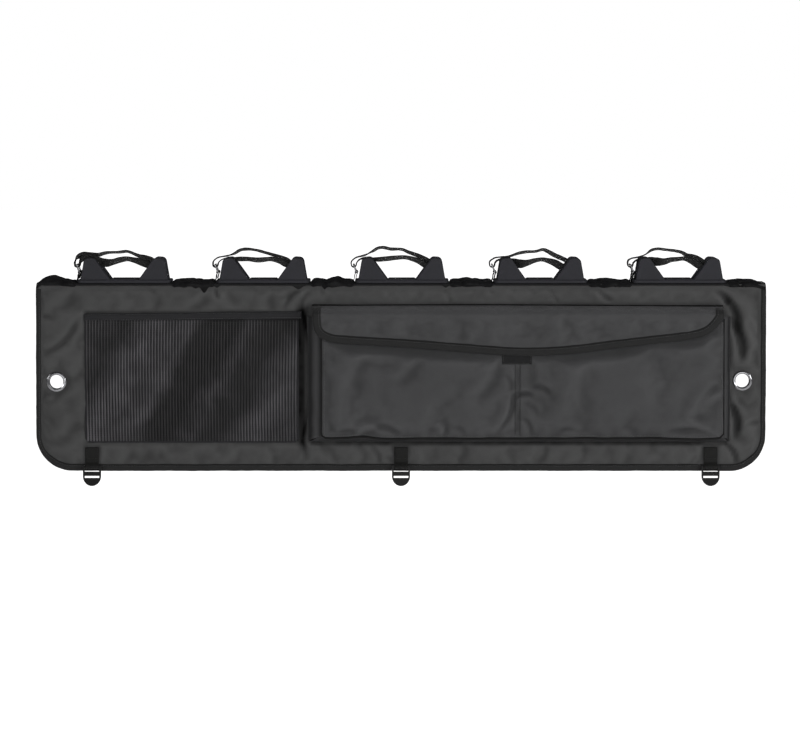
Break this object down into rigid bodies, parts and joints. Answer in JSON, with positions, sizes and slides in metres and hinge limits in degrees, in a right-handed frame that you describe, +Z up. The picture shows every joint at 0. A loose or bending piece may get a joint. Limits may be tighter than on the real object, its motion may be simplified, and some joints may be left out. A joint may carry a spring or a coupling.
{
  "type": "padded tailgate tube carrier",
  "caption": "Draped padded panel with a row of strap-down tube cradles along its top edge, a mesh pocket, a flapped bellows pocket, grommets and buckle tabs.",
  "frame": {"origin": "middle of the spine's underside, the flat face that rests on the tailgate's top edge", "axes": "+X to the right seen from the front, -Y out of the front panel, +Z up"},
  "size_m": [1.34, 0.1407, 0.4324],
  "materials": {
    "panel_cloth": "coated woven cloth, satin",
    "top_cloth": "coated woven cloth, satin, black",
    "binding_tape": "woven edge tape",
    "foam": "closed-cell foam, matte",
    "lining": "brushed soft cloth",
    "mesh": "knitted mesh, slight sheen",
    "webbing": "woven webbing",
    "hook_loop": "hook-and-loop pile",
    "molded_rubber": "moulded rubber, satin",
    "buckle_plastic": "moulded, glossy",
    "ring_steel": "plated wire",
    "grommet_metal": "polished",
    "elastic": "elastic webbing"
  },
  "bodies": {
    "spine": {"spine_shell": "top_cloth", "spine_foam": "foam", "spine_liner": "lining", "cradle_1": "molded_rubber", "cradle_2": "molded_rubber", "cradle_3": "molded_rubber", "cradle_4": "molded_rubber", "cradle_5": "molded_rubber", "strap_1": "hook_loop", "strap_2": "hook_loop", "strap_3": "hook_loop", "strap_4": "hook_loop", "strap_5": "hook_loop", "ring_anchors": "webbing"},
    "front_panel": {"front_shell": "panel_cloth", "front_foam": "foam", "front_liner": "lining", "front_binding": "binding_tape", "mesh_panel": "mesh", "mesh_hem": "binding_tape", "pocket_gusset_left": "panel_cloth", "pocket_gusset_right": "panel_cloth", "pocket_gusset_bottom": "panel_cloth", "pocket_divider": "panel_cloth", "grommet_left": "grommet_metal", "grommet_right": "grommet_metal", "grommet_washers": "grommet_metal", "buckle_tab_left": "webbing", "buckle_tab_center": "webbing", "buckle_tab_right": "webbing"},
    "rear_panel": {"rear_shell": "panel_cloth", "rear_foam": "foam", "rear_liner": "lining", "rear_binding": "binding_tape", "rear_strap_tabs": "webbing"},
    "pocket_front": {"pocket_face": "panel_cloth", "pocket_face_hem": "binding_tape", "pocket_loop_patch": "hook_loop"},
    "flap": {"flap_shell": "panel_cloth", "flap_binding": "binding_tape", "flap_hook_patch": "hook_loop"},
    "buckle_left": {"buckle_left": "buckle_plastic"},
    "buckle_center": {"buckle_center": "buckle_plastic"},
    "buckle_right": {"buckle_right": "buckle_plastic"},
    "rear_strap_left": {"rear_strap_left": "webbing", "strap_keeper_left": "elastic"},
    "rear_strap_center": {"rear_strap_center": "webbing", "strap_keeper_center": "elastic"},
    "rear_strap_right": {"rear_strap_right": "webbing", "strap_keeper_right": "elastic"},
    "ring_1": {"strap_ring_1": "ring_steel"},
    "ring_2": {"strap_ring_2": "ring_steel"},
    "ring_3": {"strap_ring_3": "ring_steel"},
    "ring_4": {"strap_ring_4": "ring_steel"},
    "ring_5": {"strap_ring_5": "ring_steel"},
    "tail_1": {"strap_tail_1": "hook_loop"},
    "tail_2": {"strap_tail_2": "hook_loop"},
    "tail_3": {"strap_tail_3": "hook_loop"},
    "tail_4": {"strap_tail_4": "hook_loop"},
    "tail_5": {"strap_tail_5": "hook_loop"}
  },
  "joints": [
    {"name": "front_panel_fold", "type": "hinge", "parent": "spine", "child": "front_panel", "pos_m": [0, -0.0482, 0.016], "axis": [-1, 0, 0], "range_deg": [0, 90]},
    {"name": "rear_panel_fold", "type": "hinge", "parent": "spine", "child": "rear_panel", "pos_m": [0, 0.0482, 0.016], "axis": [1, 0, 0], "range_deg": [0, 90]},
    {"name": "pocket_collapse", "type": "slide", "parent": "front_panel", "child": "pocket_front", "axis": [0, 1, 0], "range_m": [0, 0.022], "deforming": ["pocket_gusset_left", "pocket_gusset_right", "pocket_gusset_bottom", "pocket_divider"]},
    {"name": "flap_open", "type": "hinge", "parent": "front_panel", "child": "flap", "pos_m": [0.2145, -0.0498, -0.0252], "axis": [-1, 0, 0], "range_deg": [0, 95]},
    {"name": "buckle_left_swing", "type": "hinge", "parent": "front_panel", "child": "buckle_left", "pos_m": [-0.567, -0.0546, -0.3215], "axis": [-1, 0, 0], "range_deg": [-15, 130]},
    {"name": "buckle_center_swing", "type": "hinge", "parent": "front_panel", "child": "buckle_center", "pos_m": [0, -0.0546, -0.3215], "axis": [-1, 0, 0], "range_deg": [-15, 130]},
    {"name": "buckle_right_swing", "type": "hinge", "parent": "front_panel", "child": "buckle_right", "pos_m": [0.568, -0.0546, -0.3215], "axis": [-1, 0, 0], "range_deg": [-15, 130]},
    {"name": "rear_strap_left_swing", "type": "hinge", "parent": "rear_panel", "child": "rear_strap_left", "pos_m": [-0.567, 0.05015, -0.2536], "axis": [1, 0, 0], "range_deg": [-30, 90]},
    {"name": "rear_strap_center_swing", "type": "hinge", "parent": "rear_panel", "child": "rear_strap_center", "pos_m": [0, 0.05015, -0.2536], "axis": [1, 0, 0], "range_deg": [-30, 90]},
    {"name": "rear_strap_right_swing", "type": "hinge", "parent": "rear_panel", "child": "rear_strap_right", "pos_m": [0.568, 0.05015, -0.2536], "axis": [1, 0, 0], "range_deg": [-30, 90]},
    {"name": "ring_1_rock", "type": "hinge", "parent": "spine", "child": "ring_1", "pos_m": [-0.5912, 0, 0.035], "axis": [0, 1, 0], "range_deg": [-6, 6]},
    {"name": "ring_2_rock", "type": "hinge", "parent": "spine", "child": "ring_2", "pos_m": [-0.3366, 0, 0.035], "axis": [0, 1, 0], "range_deg": [-6, 6]},
    {"name": "ring_3_rock", "type": "hinge", "parent": "spine", "child": "ring_3", "pos_m": [-0.082, 0, 0.035], "axis": [0, 1, 0], "range_deg": [-6, 6]},
    {"name": "ring_4_rock", "type": "hinge", "parent": "spine", "child": "ring_4", "pos_m": [0.1726, 0, 0.035], "axis": [0, 1, 0], "range_deg": [-6, 6]},
    {"name": "ring_5_rock", "type": "hinge", "parent": "spine", "child": "ring_5", "pos_m": [0.4272, 0, 0.035], "axis": [0, 1, 0], "range_deg": [-6, 6]},
    {"name": "tail_1_peel", "type": "hinge", "parent": "spine", "child": "tail_1", "pos_m": [-0.6011, 0, 0.0524], "axis": [0, -1, 0], "range_deg": [0, 120]},
    {"name": "tail_2_peel", "type": "hinge", "parent": "spine", "child": "tail_2", "pos_m": [-0.3465, 0, 0.0524], "axis": [0, -1, 0], "range_deg": [0, 120]},
    {"name": "tail_3_peel", "type": "hinge", "parent": "spine", "child": "tail_3", "pos_m": [-0.0919, 0, 0.0524], "axis": [0, -1, 0], "range_deg": [0, 120]},
    {"name": "tail_4_peel", "type": "hinge", "parent": "spine", "child": "tail_4", "pos_m": [0.1627, 0, 0.0524], "axis": [0, -1, 0], "range_deg": [0, 120]},
    {"name": "tail_5_peel", "type": "hinge", "parent": "spine", "child": "tail_5", "pos_m": [0.4173, 0, 0.0524], "axis": [0, -1, 0], "range_deg": [0, 120]}
  ]
}
